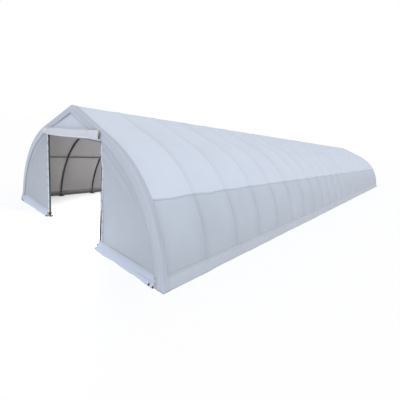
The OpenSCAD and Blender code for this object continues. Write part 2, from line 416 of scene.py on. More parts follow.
frame_steel = steel_finish("painted steel", (0.022, 0.023, 0.026, 1.0), (0.30, 0.29, 0.28, 1.0))
zinc = fine_finish("dull zinc", (0.055, 0.058, 0.062, 1.0), (0.11, 0.115, 0.12, 1.0), 90, 0.7, 0.5)
black_webbing = fine_finish("black webbing", (0.012, 0.012, 0.014, 1.0),
                            (0.045, 0.045, 0.05, 1.0), 700, roughness=0.8)
white_webbing = fine_finish("white webbing", (0.5, 0.54, 0.62, 1.0),
                            (0.68, 0.73, 0.82, 1.0), 700, roughness=0.75)
thread = fine_finish("sewing thread", (0.42, 0.45, 0.52, 1.0), (0.58, 0.62, 0.70, 1.0), 900,
                     roughness=0.7)
header_cloth = fine_finish("sleeve on the headers", (0.215, 0.208, 0.208, 1.0),
                           (0.285, 0.276, 0.276, 1.0), 90, roughness=0.8)
for name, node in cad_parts.items():
    for slot in node.material_slots:
        slot.material = header_cloth if name.endswith("_header") else frame_steel
print("finishes", len(bpy.data.materials))

# %% [markdown]
# ## Cloth from a grid of points
# Each cloth is worked out as a grid of points on its outer face, where every point
# knows its place along the arch and along the shelter. A simulation could hang the
# cloth too, but at this size its folds would be as coarse as its mesh, and the hoops
# already say where the cloth touches and where it sags. The grid then gets its
# thickness: an inner layer, turned round, and a rim that closes the edge. Both layers
# carry a map in metres along the cloth, which the weave follows.

# %% A closed sheet from a grid
CLOTH = 0.003            # thickness of every cloth here


def lengths(points, axis):
    """How far each point of a grid lies along its row or column, on the cloth."""
    steps = np.linalg.norm(np.diff(points, axis=axis), axis=2)
    start = np.zeros_like(np.take(steps, [0], axis=axis))
    return np.concatenate([start, np.cumsum(steps, axis=axis)], axis=axis)


def outward_normals(points, outward):
    """Each point's normal, turned to the side that outward points to."""
    normal = np.cross(np.gradient(points, axis=1), np.gradient(points, axis=0))
    normal /= np.maximum(np.linalg.norm(normal, axis=2, keepdims=True), 1e-9)
    return normal * np.sign((normal * outward).sum() or 1.0)


def grid(x, y, z):
    """A grid of points from grids, rows or columns of places."""
    return np.stack(np.broadcast_arrays(x, y, z), axis=2)


def cloth(name, points, outside, inside=None, outward=None, thickness=CLOTH):
    """A closed thin mesh from a grid of points (rows, columns, 3) on its outer face. It
    faces where outward points to, or else away from the middle of the shelter."""
    rows, columns = points.shape[:2]
    if outward is None:
        outward = points * (1, 0, 1) - (0, 0, 1.0)
    normal = outward_normals(points, outward)
    under = points - normal * thickness

    # The outer layer's faces, the inner layer's turned round, and the rim's between them
    where = np.arange(rows * columns).reshape(rows, columns)
    quads = np.stack([where[:-1, :-1], where[:-1, 1:], where[1:, 1:], where[1:, :-1]], axis=2)
    if np.cross(points[0, 1] - points[0, 0], points[1, 0] - points[0, 0]) @ normal[0, 0] < 0:
        quads = quads[:, :, ::-1]
    quads = quads.reshape(-1, 4)
    below = rows * columns
    edge = np.concatenate([where[0], where[1:, -1], where[-1, -2::-1], where[-2:0:-1, 0]])
    after = np.roll(edge, -1)
    rim = np.stack([edge, after, after + below, edge + below], axis=1)
    faces = np.concatenate([quads, quads[:, ::-1] + below, rim])

    mesh = bpy.data.meshes.new(name)
    mesh.vertices.add(2 * below)
    mesh.vertices.foreach_set("co", np.concatenate([points.reshape(-1, 3),
                                                    under.reshape(-1, 3)]).ravel())
    mesh.loops.add(faces.size)
    mesh.loops.foreach_set("vertex_index", faces.ravel())
    mesh.polygons.add(len(faces))
    mesh.polygons.foreach_set("loop_start", np.arange(0, faces.size, 4))
    mesh.update(calc_edges=True)
    for finish in (outside, inside or outside):
        mesh.materials.append(finish)
    mesh.polygons.foreach_set("material_index", np.repeat(
        [0, 1, 0], [len(quads), len(quads), len(rim)]).astype(np.int32))
    mesh.polygons.foreach_set("use_smooth", np.repeat(
        [True, False], [2 * len(quads), len(rim)]))
    uv = np.stack([lengths(points, 1), lengths(points, 0)], axis=2).reshape(-1, 2)
    mesh.uv_layers.new(name="cloth").data.foreach_set("uv", uv[faces.ravel() % below].ravel())
    mesh.validate()
    work = bmesh.new()   # turns the rim outwards where it was wound the other way
    work.from_mesh(mesh)
    bmesh.ops.recalc_face_normals(work, faces=work.faces)
    work.to_mesh(mesh)
    work.free()
    return show(bpy.data.objects.new(name, mesh))


def place(piece, slot, *nodes):
    """Gives a finished piece its body, and hides the CAD nodes it stands for. slot is not used."""
    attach(piece, "root")
    if nodes:
        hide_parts(*nodes)
    piece.data.calc_loop_triangles()
    print(piece.name, len(piece.data.loop_triangles), "triangles")
    return piece


# %% Soft noise for wrinkles
LATTICE = (61, 67)       # the noise repeats after so many bumps, far past any cloth


def soft_noise(u, v, size_u, size_v, seed):
    """Smooth noise between -1 and 1, with bumps about size_u by size_v across."""
    across, down = LATTICE
    lattice = np.random.default_rng(seed).uniform(-1, 1, LATTICE)
    a, b = np.broadcast_arrays(u / size_u, v / size_v)
    i, j = np.floor(a).astype(int), np.floor(b).astype(int)
    fa, fb = a - i, b - j
    fa, fb = fa * fa * (3 - 2 * fa), fb * fb * (3 - 2 * fb)

    def corner(k, m):
        return lattice[(i + k) % across, (j + m) % down]

    low = corner(0, 0) * (1 - fa) + corner(1, 0) * fa
    high = corner(0, 1) * (1 - fa) + corner(1, 1) * fa
    return low * (1 - fb) + high * fb


def smooth(x, low, high):
    """0 below low and 1 above high, with a soft step between."""
    t = np.clip((x - low) / (high - low), 0, 1)
    return t * t * (3 - 2 * t)


def bulge(share):
    """0 at a share of 0 and of 1, and 1 half-way, as a belly or a fold swells."""
    return np.sin(math.pi * np.clip(share, 0, 1))


def bump(x, width):
    """1 where x is 0, and nearly 0 from two widths away."""
    return np.exp(-(x / width) ** 2)


# %% [markdown]
# ## How the main cover hangs
# The cover is pulled tight over the hoops, so between two hoops it lies a little
# inside them, and each hoop stands out as a rib. The sag is nothing at a hoop, falls
# off steeply beside it and is nearly level in the middle of a bay. Along the arch it
# is least at the ridge and the side purlins, which hold the cloth up, and most between
# them. So the cloth has a crease along each side purlin, as on the real one. Every bay
# differs a little, and the walls hang in long upright wrinkles.

# %% The sag between the hoops
RIDGE_SAG, PURLIN_SAG, SKIRT_SAG = 0.010, 0.024, 0.024   # in the middle of a bay
ROOF_BELLY, WALL_BELLY = 0.028, 0.044   # and how much deeper between those lines
COVER_OUT = 0.0085       # outer face of the cover, out from the border's outline
bay_slack = np.random.default_rng(5).uniform(0.7, 1.3, hoop_count)


def bay_middle(y):
    """0 at a hoop and past the end hoops, 1 in the middle of a bay."""
    t = np.clip((y - front_hoop) / bay, 0, hoop_count - 1)
    return 2 * np.abs(t - np.rint(t))


def slack(y):
    """How slack the cloth is in the bay at y."""
    return bay_slack[np.clip(((y - front_hoop) // bay).astype(int), 0, hoop_count - 1)]


def sag_depth(s):
    """The cover's depth inside the hoops in the middle of a bay."""
    up = foot_up(s)
    roof = (up - purlin_s) / (ridge_s - purlin_s)
    wall = (up - skirt_s) / (purlin_s - skirt_s)
    over = PURLIN_SAG + (RIDGE_SAG - PURLIN_SAG) * roof + ROOF_BELLY * bulge(roof)
    below = SKIRT_SAG + (PURLIN_SAG - SKIRT_SAG) * wall + WALL_BELLY * bulge(wall)
    return np.where(up > purlin_s, over, below)


def wrinkles(s, y):
    """Long wrinkles that run down the cloth, strongest low on the walls."""
    up = foot_up(s)
    side = np.where(s < ridge_s, 0, 9)
    wall = 1 - smooth(up, purlin_s - 0.5, purlin_s + 0.15)   # 1 on a wall, 0 on the roof
    free = smooth(bay_middle(y), 0.0, 0.25)                  # 0 on a hoop
    held = smooth(np.abs(up - purlin_s), 0.0, 0.25)          # 0 on a side purlin
    fine = soft_noise(y + 40 * side, up, 0.11, 1.1, 1)
    fine = fine + 0.5 * soft_noise(y, up + side, 0.055, 0.7, 2)
    broad = soft_noise(y + 20, up + side, 0.45, 1.5, 3)
    return free * (wall * (0.0042 * fine + 0.010 * broad)
                   + (1 - wall) * held * (0.0016 * fine + 0.007 * broad))


def cover_out(s, y):
    """How far the cover's outer face lies out from the border's outline."""
    fall = 1 - (1 - bay_middle(y)) ** 3.6
    return COVER_OUT - sag_depth(s) * slack(y) * fall + wrinkles(s, y)


def on_arch(s, y, out):
    """Points in space from places along the arch, along the shelter and outwards."""
    s, y, out = np.broadcast_arrays(s, y, out)
    x, z = arch(s, out)
    return np.stack([x, y, z], axis=-1)


# %% Places along the shelter, closer together beside each hoop
# They are shares of half a bay, from a hoop to the middle of the bay.
NEAR_HOOP = np.array([0, 0.025, 0.05, 0.085, 0.13, 0.2, 0.3, 0.42, 0.56, 0.75])


def stations(first, last):
    """Places y from one hoop to another, both counted from 0."""
    part = np.concatenate([NEAR_HOOP, 2 - NEAR_HOOP[:0:-1]]) / 2
    part = np.sort(np.concatenate([part, [0.5]]))
    steps = np.arange(first, last)[:, None] + part
    return front_hoop + bay * np.append(steps.ravel(), last)


half_way = hoop_count // 2
LAP = 0.045              # how far one half of the cover laps over the other
LENGTHS = {"front": np.concatenate([[front_hoop - tube_r], stations(0, half_way),
                                    [hoop_y[half_way] + LAP]]),
           "rear": np.concatenate([[hoop_y[half_way] - LAP], stations(half_way, hoop_count - 1),
                                   [rear_hoop + tube_r]])}
STRETCHES = [(side, part, y) for side in SIDES for part, y in LENGTHS.items()]
print({part: (len(y), round(y[-1] - y[0], 2)) for part, y in LENGTHS.items()})


def under_lap(y, part):
    """The rear half's first stretch lies under the front half's last one."""
    return 0.0035 * (1 - smooth(y, y[0] + 2 * LAP, y[0] + 4 * LAP)) if part == "rear" else 0 * y


# %% [markdown]
# ## The roof cover
# It reaches from one side purlin over the ridge to the other. Its edge hangs a hand's
# width below the purlin, over the wall cover, and droops a little between the hoops.
# It is 34 metres long, so it is made of two lengths that lap over the middle hoop.

# %% Roof cover, in two lengths
ROOF_EDGE = 0.05         # the roof's edge below the purlin, at a hoop
EDGE_DROOP = 0.026       # and how much lower it hangs in the middle of a bay
ROOF_ROWS = 101          # points along the arch


def roof_edge(y):
    """How far up from its foot the roof cover's edge lies."""
    return purlin_s - ROOF_EDGE - EDGE_DROOP * bay_middle(y) ** 1.5 * slack(y)


for part, y in LENGTHS.items():
    edge = roof_edge(y)
    share = np.linspace(0, 1, ROOF_ROWS)[:, None]
    s = edge + share * (arch_length - 2 * edge)
    hem = 1 - smooth(foot_up(s) - edge, 0.0, 0.12)
    out = cover_out(s, y) + 0.002 * hem - under_lap(y, part)
    roof = place(cloth(f"roof_cover_{part}", on_arch(s, y, out), lit_roof_cloth, shaded_inner_cloth),
                 "roof_fabric", "left_roof_cover", "right_roof_cover")

# %% [markdown]
# ## The wall covers
# Each wall cover starts under the roof's edge and ends behind the skirt, where it is
# tucked in. The tuck leaves a crease along the skirt's top.

# %% Wall covers, in two lengths on each side
WALL_ROWS = 50           # points up the wall
SKIRT_TOP = skirt_s - 0.10       # the skirt's cloth is folded down a little at its top
WALL_TUCK, WALL_LAP = 0.07, 0.06   # the wall's ends, behind the skirt and the roof
for side, part, y in STRETCHES:
    up = np.linspace(SKIRT_TOP - WALL_TUCK, purlin_s + WALL_LAP, WALL_ROWS)[:, None]
    s = on_side(side, up)
    tucked = 0.012 * (1 - smooth(up, SKIRT_TOP - 0.03, SKIRT_TOP + 0.12))  # behind the skirt
    lapped = 0.0040 * smooth(up, purlin_s - 0.22, purlin_s - 0.12)         # under the roof
    out = cover_out(s, y) - tucked - lapped - under_lap(y, part)
    wall = place(cloth(f"{side}_wall_cover_{part}", on_arch(s, y, out), wall_cloth_lit_above,
                       shaded_inner_cloth), "wall_fabric", f"{side}_wall_cover")

# %% [markdown]
# ## The skirts
# A skirt runs along the foot of each side. Its top is sewn to the wall with a flat
# pocket that makes a low, soft bead. Below it the cloth is free: it creases, flares
# out and meets the ground in slow waves. Its ends lie under the borders.

# %% Skirts, in two lengths on each side
SKIRT_FLARE = 0.058      # how far a skirt stands out at the ground
BEAD = 0.006             # how far its pocket stands proud
WRAP = 0.19              # how far a border is turned back along the sides
BORDER_PROUD = 0.004     # and how far it lies outside the cloth below it
rear_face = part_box("rear_border")[1].y


def skirt_out(s, y):
    """How far a skirt's outer face lies out from the border's outline."""
    below = SKIRT_TOP - s
    free = np.clip((below - 0.03) / (SKIRT_TOP - 0.03), 0, 1)   # 1 on the ground
    tied = cover_out(SKIRT_TOP + 0 * s, y)                      # where the wall holds it
    bead = BEAD * np.sqrt(np.clip(1 - (below / 0.022) ** 2, 0, 1))
    crease = 0.003 * bump(below - 0.036, 0.014)                 # just under the pocket
    waves = 0.012 * soft_noise(y, s, 0.62, 2.0, 11) + 0.003 * soft_noise(y, s, 0.16, 0.4, 12)
    return (tied * (1 - free) + COVER_OUT * free - 0.001 + bead - crease
            + SKIRT_FLARE * free ** 1.25 + waves * free)


SKIRT_S = np.concatenate([np.linspace(0.006, SKIRT_TOP - 0.07, 10),
                          np.linspace(SKIRT_TOP - 0.055, SKIRT_TOP + 0.03, 18)])
UNDER_BORDER = 0.06      # where a skirt's end lies, back from the border's face
for side, part, y in STRETCHES:
    y = np.clip(y, front_face + UNDER_BORDER, rear_face - UNDER_BORDER)
    up = SKIRT_S[:, None]
    points = on_arch(on_side(side, up), y, skirt_out(up, y) - under_lap(y, part))
    skirt = place(cloth(f"{side}_skirt_{part}", points, hem_cloth, shaded_inner_cloth),
                  "hem_fabric", f"{side}_skirt")

# %% [markdown]
# ## The borders
# The cover's edge is turned down over each end hoop and gathered by an elastic cord in
# its inner hem. So the border is one strip with a soft corner: part of it lies flat on
# the end wall, and part is turned back along the sides. It is a grid that runs along
# the whole arch. Across it a profile gives each column its place: out from the arch's
# outline, and ahead of the end wall. The legs hang slack and fold along their length.

# %% A border's profile and folds
INNER_HEM = 0.028        # width of the hem that holds the cord
CORNER = 0.020           # radius of the soft corner
GABLE_RISE = 0.045       # how far the hem rides up at the gable
BORDER_ROWS = 271        # points along the arch
HEM_SHARE = INNER_HEM / border_width
FACE_EDGE = 0.03         # where the face turns into the corner, as a share of the width
FACE_STEPS = np.concatenate([np.linspace(1, 1 - HEM_SHARE, 4)[:-1],
                             np.linspace(1 - HEM_SHARE, FACE_EDGE, 26)]) * border_width
WRAP_STEPS = np.array([0.035, 0.055, 0.08, 0.105, 0.13, 0.155, 0.175, WRAP])

# Which way each border faces, where its face is, and where its folds start
BORDERS = {"front": (-1, front_face, 0), "rear": (1, rear_face, 7)}


def hem_reach(s):
    """How much of its width the border keeps: less at the gable."""
    gable = 1 - smooth(np.abs(s - ridge_s), 1.5, 3.0)
    return 1 - GABLE_RISE / border_width * gable


def border_face(across, s, start):
    """How far the border's face stands ahead of the end wall's plane."""
    x = arch(s)[0]
    up = foot_up(s)
    beside_roll = smooth(np.abs(x), 1.95, 2.35)   # 0 over the rolled door, which lies close
    leg = 1 - smooth(up, 1.2, 3.2)                # 1 low on a leg
    right = np.where(s < ridge_s, 1.0, 0.55)      # the left leg folds less
    bow = across / border_width
    drift = soft_noise(s + start, across, 0.9, 0.5, 21)
    fold = np.cos(math.tau * (across / 0.125 + 0.30 * drift + 0.1 * s))
    gather = soft_noise(s + 3 * start, across, 0.085, 0.30, 22)   # from the cord
    face = 0.002 + 0.010 * bulge(bow) * (0.25 + 0.75 * beside_roll)
    face += 0.0075 * fold * leg * right * bulge(bow) ** 0.7
    face += (0.0022 + 0.0020 * beside_roll) * gather * bulge(bow)
    face += 0.003 * smooth(across, border_width - INNER_HEM - 0.003, border_width - INNER_HEM)
    lifted = 1 - smooth(np.abs(x), 0.7, 1.1)      # the hem stands off the gable's middle
    face += 0.016 * lifted * smooth(bow, 0.75, 1.0)
    return face + 0.045 * np.clip(1 - up / 0.42, 0, 1) ** 1.6


def side_out(s, y):
    """How far the outermost cloth lies out beside a border: the cover's or the skirt's."""
    up = foot_up(s)
    skirt = skirt_out(np.minimum(up, SKIRT_TOP), y) + 0.003
    low = 1 - smooth(up, SKIRT_TOP - 0.02, SKIRT_TOP + 0.06)
    return cover_out(s, y) * (1 - low) + skirt * low


def border_points(end):
    """The border's outer face as a grid: rows along the arch, columns across it."""
    sign, plane, start = BORDERS[end]
    s = np.linspace(0.004, arch_length - 0.004, BORDER_ROWS)[:, None]
    flat = border_face(FACE_STEPS, s, start)
    turn = np.linspace(0, math.pi / 2, 6)[1:]
    edge = border_face(FACE_EDGE * border_width + 0 * s, s, start) - CORNER
    corner_ahead = edge + CORNER * np.cos(turn)
    y = plane - sign * WRAP_STEPS
    wrap_out = side_out(s, y) + BORDER_PROUD
    wrap_out += (0.0018 * soft_noise(s, -WRAP_STEPS, 0.07, 0.2, 23)
                 * smooth(WRAP_STEPS, 0.03, 0.08))
    corner_out = side_out(s, y[:1]) + BORDER_PROUD - CORNER + CORNER * np.sin(turn)
    reach = hem_reach(s) + (1 - hem_reach(s)) * (1 - smooth(FACE_STEPS, 0, 0.06))
    out = np.concatenate([-FACE_STEPS * reach, corner_out, wrap_out], axis=1)
    ahead = np.concatenate([flat, corner_ahead, 0 * s - WRAP_STEPS], axis=1)
    return on_arch(s, plane + sign * ahead, out), sign


for end in BORDERS:
    points, sign = border_points(end)
    border = place(cloth(f"{end}_border_cloth", points, border_cloth, shaded_inner_cloth, (0, sign, 0)),
                   "wall_fabric", f"{end}_border")

# %% [markdown]
# ## The end walls
# Each end wall is a sheet laced to the end hoop behind the border, so its outer edge
# never shows. It isn't drum tight: it bellies a little, draws folds that follow the
# arch, and wrinkles along the door posts. A wall is a grid in x and z that is pushed
# out by a depth. All the folds fade out under the border, which has to lie flat.

# %% How an end wall hangs
wall_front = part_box("front_gable_panel")[0].y
wall_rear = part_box("rear_wall")[1].y
END_WALLS = {"front": (-1, wall_front), "rear": (1, wall_rear)}
door_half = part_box("front_right_panel")[0].x
door_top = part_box("front_gable_panel")[0].z
flap_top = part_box("front_right_flap")[1].z
post_middle = sum(corner.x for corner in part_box("front_right_post")) / 2
header_middle = sum(corner.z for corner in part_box("front_header")) / 2
REST_DEPTH = 0.003       # how far a wall can sink where it rests on steel
GABLE_GRID, PANEL_COLUMNS, REAR_GRID = (40, 110), 76, (80, 181)
print("doorway", round(2 * door_half, 3), "by", round(door_top, 3))


def roof_z(x, out):
    """The arch's height over a place x, at a distance out from the outline."""
    ax, az = arch(arch_s, out)
    return np.interp(x, ax[::-1], az[::-1])


def leg_x(z, out):
    """The right leg's x at a height."""
    ax, az = arch(right_s, out)
    return np.interp(z, az, ax)


def inside(x, z):
    """How far a place lies inside the arch's outline, near enough for a fold to fade by."""
    ax, az = arch(np.linspace(0, arch_length, 500))
    return np.hypot(x[..., None] - ax, z[..., None] - az).min(-1)


STRIP = 0.029            # half the width of the strip on a panel's free edge
SLIP = (0.085, 0.050)    # how far the right panel has slipped off its post: most of the
                         # way up, and how much more low down


def edge_x(side, z):
    """Where the middle of a door edge strip is at a height."""
    slip = SLIP[0] * (1 - smooth(z, 2.35, 2.75)) + SLIP[1] * (1 - smooth(z, 0.95, 1.45))
    slip = slip if side == "right" else 0 * z
    return (door_half + STRIP + slip) * SIDES[side]


def steel_behind(x, z):
    """1 where a post or a header lies right behind an end wall, and 0 away from them."""
    post = 1 - smooth(np.abs(np.abs(x) - post_middle), 0.04, 0.13)
    header = 1 - smooth(np.abs(z - header_middle), 0.035, 0.12)
    return np.maximum(post, header * (1 - smooth(np.abs(x), post_middle, post_middle + 0.10)))


def wall_depth(x, z, seed, beside_post):
    """How far an end wall stands out of its plane."""
    deep = inside(x, z)
    free = smooth(deep, border_width - 0.02, border_width + 0.25)   # 0 under the border
    curved = np.cos(math.tau * (deep / 0.30 + 0.30 * soft_noise(x, z, 0.9, 0.7, seed)))
    curved *= bump(deep - 0.50, 0.24) * smooth(z, 1.0, 2.0) * smooth(np.abs(x), 1.2, 1.9)
    upright = soft_noise(x, z, 0.10, 0.9, seed + 1) + 0.5 * soft_noise(x, z, 0.05, 0.5, seed + 2)
    broad = soft_noise(x, z, 0.7, 1.1, seed + 3)
    post = bump(np.abs(x) - door_half, 0.22) * beside_post          # where ties pull it
    pulled = soft_noise(x, z, 0.5, 0.16, seed + 4) * post * 0.004
    depth = free * (0.020 * curved + 0.0028 * upright + 0.012 * broad) + pulled
    return depth + steel_behind(x, z) * np.maximum(-REST_DEPTH - depth, 0)


def end_wall(name, node, x, z, seed, finish=end_cloth, beside_post=0.0):
    """An end wall's sheet from grids of x and z. It stands for a CAD node."""
    sign, plane = END_WALLS[node.split("_")[0]]
    x, z = np.broadcast_arrays(x, z)
    points = grid(x, plane + sign * wall_depth(x, z, seed, beside_post), z)
    return place(cloth(name, points, finish, shaded_inner_cloth, (0, sign, 0)), "end_fabric", node)


# %% The front end wall: a gable over the doorway and a panel on each side
share = np.linspace(0, 1, GABLE_GRID[0])[:, None]
x = np.linspace(-door_half + 0.002, door_half - 0.002, GABLE_GRID[1])
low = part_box("front_header")[1].z + 0.004
gable = end_wall("gable_panel", "front_gable_panel", x, low + share * (roof_z(x, -0.03) - low),
                 31, lit_gable_cloth)
gable_area = (roof_z(x, -0.03) - low).mean() * 2 * door_half
roof_z(0, -0.03) - low

PANEL_BEND, PANEL_TOP = 2.4, 3.24   # the arch leans in fast between them, so rows are closer
for side, sign in SIDES.items():
    z = np.concatenate([np.linspace(flap_top - 0.03, PANEL_BEND, 80),
                        np.linspace(PANEL_BEND + 0.02, PANEL_TOP, 36)])[:, None]
    near = np.abs(edge_x(side, z)) - STRIP + 0.001
    x = near + np.linspace(0, 1, PANEL_COLUMNS) * (leg_x(z, -0.03) - near)
    panel = end_wall(f"{side}_front_panel", f"front_{side}_panel", sign * x, z, 40 + sign,
                     end_cloth if side == "right" else shaded_left_end_cloth, beside_post=1.0)
    leg_x(flap_top, -0.03) - door_half

# %% The rear end wall: one sheet
share = np.linspace(0, 1, REAR_GRID[0])[:, None]
x = np.linspace(-leg_x(0.9, -0.03), leg_x(0.9, -0.03), REAR_GRID[1])
low = flap_top - 0.03
rear = end_wall("rear_wall_cloth", "rear_wall", x, low + share * (roof_z(x, -0.03) - low), 51)
rear_area = (roof_z(x, -0.03) - low).mean() * 2 * x.max()
2 * x.max()
roof_z(0, -0.03) - low

# %% [markdown]
# ## The flaps
# Along the foot of each end wall a loose flap spreads on the ground, where it would be
# weighed down with soil. It starts under a sewn crease and runs out in slow waves.

# %% Flaps at the front and rear
FLAP_FLARE = 0.10        # how far a flap runs out over the ground
FLAP_ROWS = np.concatenate([flap_top + np.array([0.022, 0.012, 0.004, -0.004]),
                            np.linspace(flap_top - 0.014, 0.005, 18)])


def flap(name, x_low, x_high, end, seed, node):
    """A flap between two places x, which may change with height."""
    sign, plane = END_WALLS[end]
    z = FLAP_ROWS[:, None]
    columns = max(40, int(24 * (np.max(x_high) - np.min(x_low))))
    x = x_low + np.linspace(0, 1, columns) * (x_high - x_low)
    fallen = np.clip((flap_top - z) / flap_top, 0, 1)   # 1 on the ground
    waves = 0.018 * soft_noise(x, z, 0.45, 3.0, seed)
    waves = waves + 0.006 * soft_noise(x, z, 0.13, 0.5, seed + 1)
    bead = 0.002 * bump(z - flap_top, 0.008)
    near_border = smooth(np.abs(x), 2.6, 4.1)
    uneven = 0.006 * soft_noise(x, 0 * z, 0.6, 1.0, seed + 2)
    crease = bump(fallen - 0.62 + 0.22 * near_border, 0.17)   # higher up near the border
    crease = crease * (0.010 + 0.022 * near_border + uneven)
    depth = 0.0035 + bead + FLAP_FLARE * fallen ** 1.5 + waves * fallen + crease
    points = grid(x, plane + sign * depth, z)
    made = place(cloth(name, points, flap_cloth_lit_low, shaded_inner_cloth, (0, sign, 0)), "hem_fabric", node)


foot_x = leg_x(FLAP_ROWS, -border_width)[:, None] - 0.004
flap("right_front_flap", door_half + 0.002, foot_x, "front", 61, "front_right_flap")
flap("left_front_flap", -foot_x, -door_half - 0.002, "front", 63, "front_left_flap")
flap("rear_flap_cloth", -foot_x, foot_x, "rear", 65, "rear_flap")

# %% [markdown]
# ## The edges of the doorway
# The panels' free edges are turned over and stuffed, and laced to the posts. They show
# as a round strip up each side of the doorway, drawn in where it is tied. It is brighter
# than the panels partly by painted light, as it wears the roof's lighter cloth.

# %% Door edge strips
STRIP_PROUD = 0.015      # how far a strip stands out
TIE_STEP = 0.30          # from one tie to the next
for side, sign in SIDES.items():
    z = np.linspace(0.03, door_top - 0.03, 120)[:, None]
    across = np.linspace(-1, 1, 15)
    from_tie = (z + TIE_STEP / 2) % TIE_STEP - TIE_STEP / 2
    drawn = 1 - 0.30 * bump(from_tie, 0.022)
    x = edge_x(side, z) + sign * across * STRIP * (0.85 + 0.15 * drawn)
    depth = 0.004 + STRIP_PROUD * drawn * np.sqrt(1 - 0.97 * across ** 2)
    depth = depth + 0.0015 * soft_noise(x, z, 0.03, 0.06, 70)
    spread = 0.055 * np.clip(1 - z / flap_top, 0, 1) ** 1.3
    points = grid(x, wall_front - depth - spread, z)
    # The strip wears the roof's cloth, which is painted lighter as lit from above.
    strip = place(cloth(f"{side}_door_edge", points, lit_roof_cloth, outward=(0, -1, 0)),
                  "hem_fabric")

# %% [markdown]
# ## The rolled-up door
# The door is a curtain that rolls up on itself. It could be a fat tube with rings drawn
# on its ends, but from the side that looks solid. So it is one long sheet: it hangs
# from the gable, turns under and winds inwards in flattened turns, and the turns
# slacken towards the left end, where the roll is thinner.

# %% The curtain as one spiral sheet
roll_points = np.array([v.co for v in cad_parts["rolled_door"].data.vertices])
roll_low, roll_high = roll_points.min(0), roll_points.max(0)
roll_middle = (roll_low + roll_high) / 2
at_right = roll_points[:, 0] > roll_middle[0]
roll_ends = [roll_points[near, 2].mean() for near in (~at_right, at_right)]
roll_half = np.ptp(roll_points[at_right], axis=0)[1:] / 2
TURNS, PITCH = 6.5, 0.0095   # of the curtain, and from one turn to the next
ROLL_GRID = (151, 76)    # points along the turns and along the roll
ROLL_AHEAD = 0.014       # clear of the border's folds
ROLL_FLAT = 0.95         # the roll's height, as a share of the CAD roll's
STRAPS = (0.13, 0.86)    # where straps tie the roll, as shares of its length
ROLL_RISE, ROLL_SAG = 0.055, 0.014   # its right end is lifted, and its middle hangs
roll_start, roll_end = roll_low[0], door_half - 0.045


def roll_size(along):
    """How thick the roll is along its length: thinner at its left end, tight at the straps."""
    thin = 1 - 0.28 * (1 - smooth(along, 0.0, 0.15))
    strap = sum(bump(along - where, 0.012) for where in STRAPS)
    return thin * (1 - 0.08 * strap)


def roll_heart(along):
    """The height of the roll's middle along its length."""
    level = roll_ends[0] + (roll_ends[1] - roll_ends[0]) * along
    return level + ROLL_RISE * along - ROLL_SAG * np.sin(math.pi * along) ** 2


def roll_depth(along):
    """Half the roll's depth from front to back: it is pressed flat at its right end."""
    return roll_half[0] * roll_size(along) * (1 - 0.70 * smooth(along, 0.86, 1.0))


def roll_height(along):
    """Half the roll's height."""
    return roll_half[1] * roll_size(along) * ROLL_FLAT


def roll_y(along):
    """Where the roll's middle is, kept against the wall where it is flatter."""
    return roll_middle[1] - ROLL_AHEAD + 0.6 * (roll_half[0] - roll_depth(along))


x = np.linspace(roll_start, roll_end, ROLL_GRID[1])
along = (x - roll_start) / (roll_end - roll_start)
wound = np.linspace(0, TURNS, ROLL_GRID[0])[:, None]
turn = math.tau * wound
lumps = 1 + 0.05 * soft_noise(x, np.sin(turn) + np.cos(turn), 0.33, 0.7, 81) * (1 - wound / TURNS)
# Each turn is a PITCH inside the last, and less where the roll is pressed flat
half_y = (roll_depth(along) - PITCH * wound * roll_depth(along) / roll_half[0]) * lumps
half_z = (roll_height(along) - PITCH * wound) * lumps
spiral_y = roll_y(along) + half_y * np.cos(turn)
spiral_z = roll_heart(along) - half_z * np.sin(turn) + 0.003 * soft_noise(x, wound, 0.5, 1.0, 82)
# The stretch that hangs from the gable down the roll's back
drop = np.linspace(0, 1, 10)[:-1, None]
drop_top = roll_heart(along) + roll_half[1] + 0.03
drop_y = wall_front - 0.006 + drop * (spiral_y[:1] - wall_front + 0.006)
drop_z = drop_top + drop * (spiral_z[:1] - drop_top)
points = grid(x, np.concatenate([drop_y, spiral_y]), np.concatenate([drop_z, spiral_z]))
toward = points * 0
toward[:len(drop)] = (0, -1, 0)
curtain = place(cloth("door_curtain", points, door_cloth, outward=toward, thickness=0.0025),
                "door_fabric", "rolled_door")


# %% Its straps
def roll_band(name, where, width):
    """A webbing band round the roll, lapped over itself behind it."""
    turn = np.linspace(-0.5, math.tau - 0.35, 60)[:, None]
    along = where + np.linspace(-width / 2, width / 2, 5) / (roll_end - roll_start)
    lift = 0.004 + 0.003 * (turn > 4)
    points = grid(roll_start + along * (roll_end - roll_start),
                  roll_y(along) + (roll_depth(along) + lift) * np.cos(turn),
                  roll_heart(along) - (roll_height(along) + lift) * np.sin(turn))
    away = (points - (0, roll_middle[1] - ROLL_AHEAD, roll_middle[2])) * (0, 1, 1)
    return place(cloth(name, points, white_webbing, outward=away, thickness=0.0018),
                 "door_fabric")


for name, where in zip(("left", "right"), STRAPS):
    band = roll_band(f"{name}_roll_strap", where, 0.045)
band = roll_band("end_roll_strap", 0.975, 0.05)

# %% A cloth over the roll's right end, painted dark as the shade inside the open roll
CAP_DOME = 0.016         # how far its middle bulges
v = np.linspace(-1, 1, 11)
u = v[:, None]
wide, high = roll_depth(1.0) + 0.003, roll_height(1.0) + 0.003
points = grid(roll_end + 0.006 + CAP_DOME * (1 - u ** 2) * (1 - v ** 2),
              roll_y(1.0) + wide * u * np.sqrt(1 - v ** 2 / 2),
              roll_heart(1.0) + high * v * np.sqrt(1 - u ** 2 / 2))
cap_low, cap_high = (float(roll_heart(1.0) + share * high) for share in (-0.75, 0.35))
